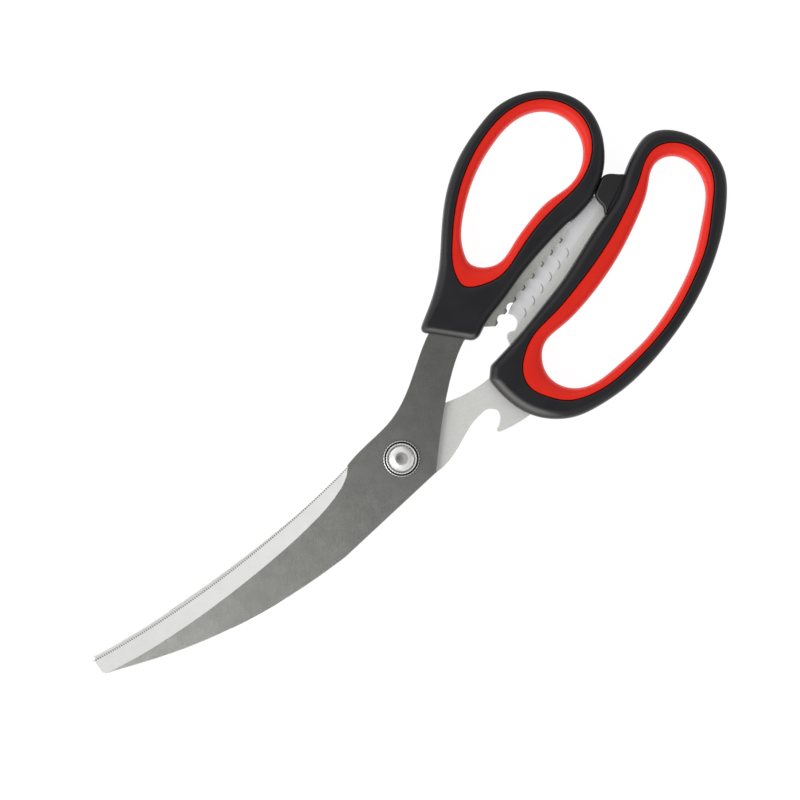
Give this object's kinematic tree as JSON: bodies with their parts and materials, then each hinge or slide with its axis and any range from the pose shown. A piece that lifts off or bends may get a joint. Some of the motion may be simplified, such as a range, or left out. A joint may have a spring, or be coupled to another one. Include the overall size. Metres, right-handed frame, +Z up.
{
  "type": "poultry shears",
  "caption": "Curved-blade poultry shears with two-tone loop handles, a screw pivot, a cap-lifter notch and toothed cracker jaws between the handles.",
  "frame": {"origin": "centre of the pivot screw's head face, where the pivot axis meets the resting plane", "axes": "+X from the pivot to the handles along the closed shears' length, +Y towards the thumb handle, +Z up from the resting plane along the pivot axis"},
  "size_m": [0.2501, 0.0928, 0.011],
  "materials": {
    "ground_steel": "dark satin-ground stainless steel with a bright bevel",
    "satin_steel": "bright fine satin stainless steel",
    "black_plastic": "fine-grained matte black moulding",
    "black_rubber": "matte black elastomer",
    "red_rubber": "satin red soft-touch elastomer",
    "pivot_steel": "bright polished steel",
    "spring_steel": "plain spring steel",
    "knurled_steel": "bright knurled steel"
  },
  "bodies": {
    "rear_half": {"rear_blade": "satin_steel", "finger_handle": "black_plastic", "finger_liner": "red_rubber", "stop_buffer": "black_rubber", "pivot_screw": "pivot_steel", "spring_washer": "spring_steel", "lock_washer": "knurled_steel", "pivot_nut": "pivot_steel"},
    "front_half": {"front_blade": "ground_steel", "thumb_handle": "black_plastic", "thumb_liner": "red_rubber"}
  },
  "joints": [
    {"name": "shears_pivot", "type": "hinge", "parent": "rear_half", "child": "front_half", "pos_m": [0, 0, 0.0055], "axis": [0, 0, 1], "range_deg": [0, 90]}
  ]
}
